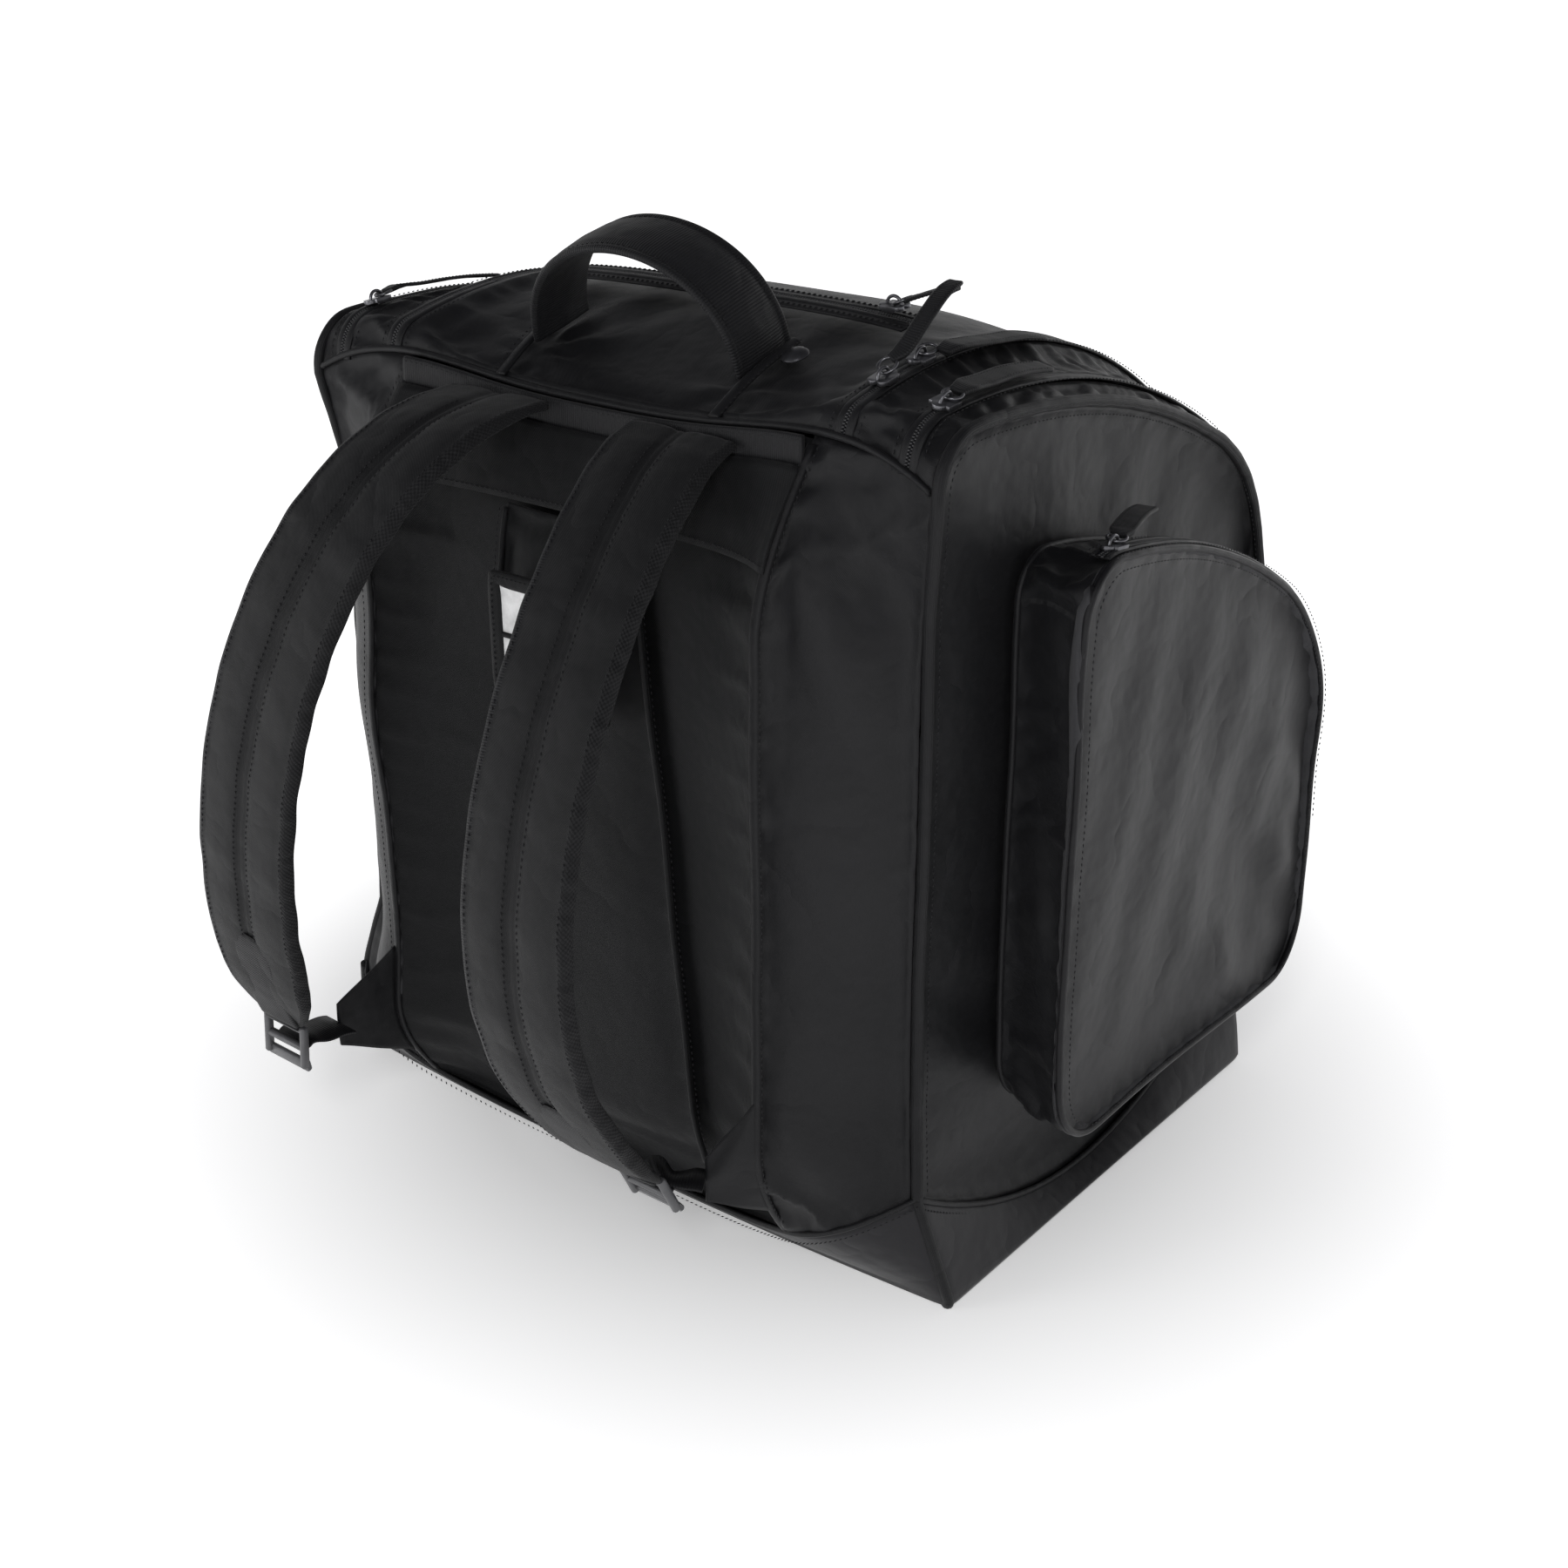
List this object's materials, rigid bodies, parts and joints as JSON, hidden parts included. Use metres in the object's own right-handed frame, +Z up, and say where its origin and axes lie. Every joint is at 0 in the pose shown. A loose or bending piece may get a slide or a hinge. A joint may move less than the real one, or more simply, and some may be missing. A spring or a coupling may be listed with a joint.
{
  "type": "ski boot bag",
  "caption": "Soft backpack for ski boots: curved top lid, two side boot doors with bellows pockets, padded back panel with shoulder straps, and a grab handle.",
  "frame": {"origin": "on the floor under the middle of the base", "axes": "+Z up, +Y from the harness to the front, +X to the wearer's right"},
  "size_m": [0.5, 0.5005, 0.5235],
  "materials": {
    "nylon": "fine coated weave, slight sheen",
    "pocket_nylon": "fine coated weave, slight sheen",
    "harness_cloth": "matt heavy weave over foam",
    "strap_cloth": "matt heavy weave over foam",
    "webbing": "ribbed webbing",
    "coated_base": "smooth coated cloth",
    "stiffener": "matt",
    "lining": "plain lining",
    "piping": "tight covered cord",
    "zip_coil": "woven tape with nylon coil",
    "zip_metal": "dark plated metal",
    "pull_ribbon": "folded grosgrain",
    "rivet_metal": "dark plated dome",
    "buckle": "satin moulded",
    "window": "satin",
    "card": "matt card"
  },
  "bodies": {
    "bag": {"harness_panel": "harness_cloth", "back_pad": "harness_cloth", "yoke_panel": "nylon", "top_binding": "nylon", "rear_wrap_right": "nylon", "rear_wrap_left": "nylon", "top_bridge": "nylon", "handle_feet": "webbing", "rivet": "rivet_metal", "top_rail_right": "nylon", "top_rail_left": "nylon", "front_panel": "nylon", "base_tray": "coated_base", "base_board": "stiffener", "divider_right": "lining", "divider_left": "lining", "strap_roots": "strap_cloth", "webbing_tabs": "nylon", "card_window": "window"},
    "name_card": {"name_card": "card"},
    "lid": {"lid_panel": "nylon", "lid_zip": "zip_coil"},
    "slider_lid_pocket": {"slider_lid_pocket": "zip_metal"},
    "pull_lid_pocket": {"pull_lid_pocket": "pull_ribbon"},
    "slider_lid_rear": {"slider_lid_rear": "zip_metal"},
    "pull_lid_rear": {"pull_lid_rear": "pull_ribbon"},
    "slider_lid_front": {"slider_lid_front": "zip_metal"},
    "pull_lid_front": {"pull_lid_front": "pull_ribbon"},
    "door_right": {"side_panel_right": "nylon", "door_rim_right": "nylon", "side_piping_right": "piping", "pocket_gusset_right": "nylon"},
    "door_left": {"side_panel_left": "nylon", "door_rim_left": "nylon", "side_piping_left": "piping", "pocket_gusset_left": "nylon"},
    "slider_door_right": {"slider_door_right": "zip_metal"},
    "pull_door_right": {"pull_door_right": "pull_ribbon"},
    "slider_door_left": {"slider_door_left": "zip_metal"},
    "pull_door_left": {"pull_door_left": "pull_ribbon"},
    "flap_right": {"pocket_flap_right": "pocket_nylon"},
    "flap_left": {"pocket_flap_left": "pocket_nylon"},
    "slider_pocket_right": {"slider_pocket_right": "zip_metal"},
    "pull_pocket_right": {"pull_pocket_right": "pull_ribbon"},
    "slider_pocket_left": {"slider_pocket_left": "zip_metal"},
    "pull_pocket_left": {"pull_pocket_left": "pull_ribbon"},
    "handle": {"grab_handle": "webbing"},
    "strap_right": {"shoulder_strap_right": "strap_cloth", "strap_webbing_right": "webbing"},
    "strap_left": {"shoulder_strap_left": "strap_cloth", "strap_webbing_left": "webbing"},
    "ladder_lock_right": {"ladder_lock_right": "buckle"},
    "ladder_lock_left": {"ladder_lock_left": "buckle"}
  },
  "joints": [
    {"name": "lid_fold", "type": "hinge", "parent": "bag", "child": "lid", "pos_m": [0, -0.097, 0.47413], "axis": [1, 0, 0], "range_deg": [0, 100]},
    {"name": "door_right_fold", "type": "hinge", "parent": "bag", "child": "door_right", "pos_m": [0.201, -0.172, 0.24], "axis": [0, 0, -1], "range_deg": [0, 100]},
    {"name": "pocket_right_fold", "type": "hinge", "parent": "door_right", "child": "flap_right", "pos_m": [0.2502, -0.1173, 0.24], "axis": [0, 0, -1], "range_deg": [0, 70]},
    {"name": "door_left_fold", "type": "hinge", "parent": "bag", "child": "door_left", "pos_m": [-0.201, -0.172, 0.24], "axis": [0, 0, 1], "range_deg": [0, 100]},
    {"name": "pocket_left_fold", "type": "hinge", "parent": "door_left", "child": "flap_left", "pos_m": [-0.2502, -0.1173, 0.24], "axis": [0, 0, 1], "range_deg": [0, 70]},
    {"name": "handle_sway", "type": "hinge", "parent": "bag", "child": "handle", "pos_m": [0, -0.1265, 0.47518], "axis": [1, 0, 0], "range_deg": [-14, 14], "stiffness_Nm_per_rad": 0.25},
    {"name": "name_card_slide", "type": "slide", "parent": "bag", "child": "name_card", "axis": [0, 0, 1], "range_m": [0, 0.05]},
    {"name": "strap_right_swing", "type": "hinge", "parent": "bag", "child": "strap_right", "pos_m": [0.05895, -0.1932, 0.42967], "axis": [0.1346, -0.09, -0.9868], "range_deg": [-15, 15]},
    {"name": "ladder_lock_right_tilt", "type": "hinge", "parent": "strap_right", "child": "ladder_lock_right", "pos_m": [0.08718, -0.25105, 0.08031], "axis": [-0.9989, 0.0341, -0.0311], "range_deg": [0, 30]},
    {"name": "strap_left_swing", "type": "hinge", "parent": "bag", "child": "strap_left", "pos_m": [-0.05871, -0.20777, 0.4347], "axis": [-0.2164, -0.1167, -0.9693], "range_deg": [-15, 15]},
    {"name": "ladder_lock_left_tilt", "type": "hinge", "parent": "strap_left", "child": "ladder_lock_left", "pos_m": [-0.13622, -0.28761, 0.10426], "axis": [-0.9985, -0.0191, 0.0512], "range_deg": [0, 30]},
    {"name": "slider_lid_rear_travel", "type": "hinge", "parent": "bag", "child": "slider_lid_rear", "pos_m": [0.146, -0.07449, 0.15346], "axis": [-1, 0, 0], "range_deg": [-3, 0]},
    {"name": "slider_lid_front_travel", "type": "hinge", "parent": "bag", "child": "slider_lid_front", "pos_m": [0.146, -0.07449, 0.15346], "axis": [-1, 0, 0], "range_deg": [0, 34]},
    {"name": "slider_door_right_travel", "type": "hinge", "parent": "door_right", "child": "slider_door_right", "pos_m": [0.183, -0.10792, 0.0502], "axis": [-1, 0, 0], "range_deg": [0, 31]},
    {"name": "slider_door_left_travel", "type": "hinge", "parent": "door_left", "child": "slider_door_left", "pos_m": [-0.183, -0.10792, 0.0502], "axis": [-1, 0, 0], "range_deg": [0, 31]},
    {"name": "slider_lid_pocket_travel", "type": "slide", "parent": "lid", "child": "slider_lid_pocket", "axis": [-1, 0, 0], "range_m": [0, 0.2]},
    {"name": "pull_lid_rear_swing", "type": "hinge", "parent": "slider_lid_rear", "child": "pull_lid_rear", "pos_m": [0.14606, -0.13814, 0.47148], "axis": [1, 0.002, -0.0097], "range_deg": [0, 60]},
    {"name": "pull_lid_front_swing", "type": "hinge", "parent": "slider_lid_front", "child": "pull_lid_front", "pos_m": [0.14661, -0.10861, 0.47596], "axis": [0.9945, 0.011, -0.1041], "range_deg": [0, 42]},
    {"name": "pull_door_right_swing", "type": "hinge", "parent": "slider_door_right", "child": "pull_door_right", "pos_m": [0.18412, -0.14247, 0.46722], "axis": [0.981, 0.016, -0.1932], "range_deg": [0, 90]},
    {"name": "pull_door_left_swing", "type": "hinge", "parent": "slider_door_left", "child": "pull_door_left", "pos_m": [-0.18412, -0.14247, 0.46722], "axis": [0.981, -0.016, 0.1932], "range_deg": [0, 90]},
    {"name": "pull_lid_pocket_swing", "type": "hinge", "parent": "slider_lid_pocket", "child": "pull_lid_pocket", "pos_m": [0.101, -0.06566, 0.48705], "axis": [0, -0.9936, -0.113], "range_deg": [0, 90]},
    {"name": "slider_pocket_right_travel", "type": "hinge", "parent": "door_right", "child": "slider_pocket_right", "pos_m": [0.24, -0.13, -0.018], "axis": [-1, 0, 0], "range_deg": [0, 24]},
    {"name": "pull_pocket_right_swing", "type": "hinge", "parent": "slider_pocket_right", "child": "pull_pocket_right", "pos_m": [0.24, -0.08538, 0.39842], "axis": [1, 0, 0], "range_deg": [0, 90]},
    {"name": "slider_pocket_left_travel", "type": "hinge", "parent": "door_left", "child": "slider_pocket_left", "pos_m": [-0.24, -0.13, -0.018], "axis": [-1, 0, 0], "range_deg": [0, 24]},
    {"name": "pull_pocket_left_swing", "type": "hinge", "parent": "slider_pocket_left", "child": "pull_pocket_left", "pos_m": [-0.24, -0.08538, 0.39842], "axis": [1, 0, 0], "range_deg": [0, 90]}
  ]
}
